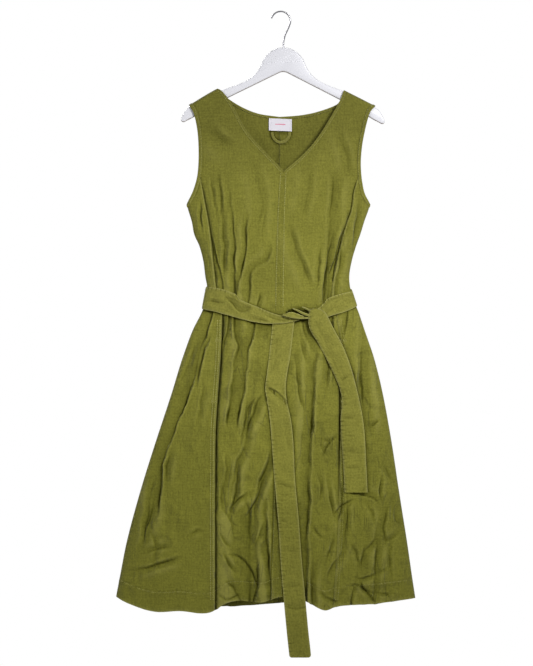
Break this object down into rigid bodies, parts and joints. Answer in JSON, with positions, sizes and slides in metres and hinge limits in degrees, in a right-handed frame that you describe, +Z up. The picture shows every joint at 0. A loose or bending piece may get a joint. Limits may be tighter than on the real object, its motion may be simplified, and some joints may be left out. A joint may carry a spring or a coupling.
{
  "type": "shift dress on a hanger",
  "caption": "Sleeveless V-neck olive linen shift dress with a tied self-fabric belt and flared panelled skirt, hanging on a plain white wooden hanger.",
  "frame": {"origin": "inner top of the hanger's hook, where it rests on a rail", "axes": "+Z up, -Y the way the front of the dress faces, +X to the right seen from the front"},
  "size_m": [0.6243, 0.1157, 1.3451],
  "materials": {
    "linen": "matte plain-weave linen blend, soft sheen, creased",
    "label": "smooth woven satin",
    "white_wood": "white satin lacquer",
    "hook_steel": "bright plated wire"
  },
  "bodies": {
    "root": {"front_left": "linen", "front_right": "linen", "side_front_left": "linen", "side_front_right": "linen", "back_left": "linen", "back_right": "linen", "armhole_binding_left": "linen", "armhole_binding_right": "linen", "neck_band_front_left": "linen", "neck_band_front_right": "linen", "neck_band_back": "linen", "hanging_loop": "linen", "pocket_bag_left": "linen", "pocket_bag_right": "linen", "belt_front_left": "linen", "belt_front_right": "linen", "belt_back": "linen", "belt_knot": "linen", "belt_tail_short": "linen", "belt_tail_long": "linen", "neck_label": "label", "hanger_body": "white_wood", "hanger_hook": "hook_steel"}
  },
  "joints": []
}
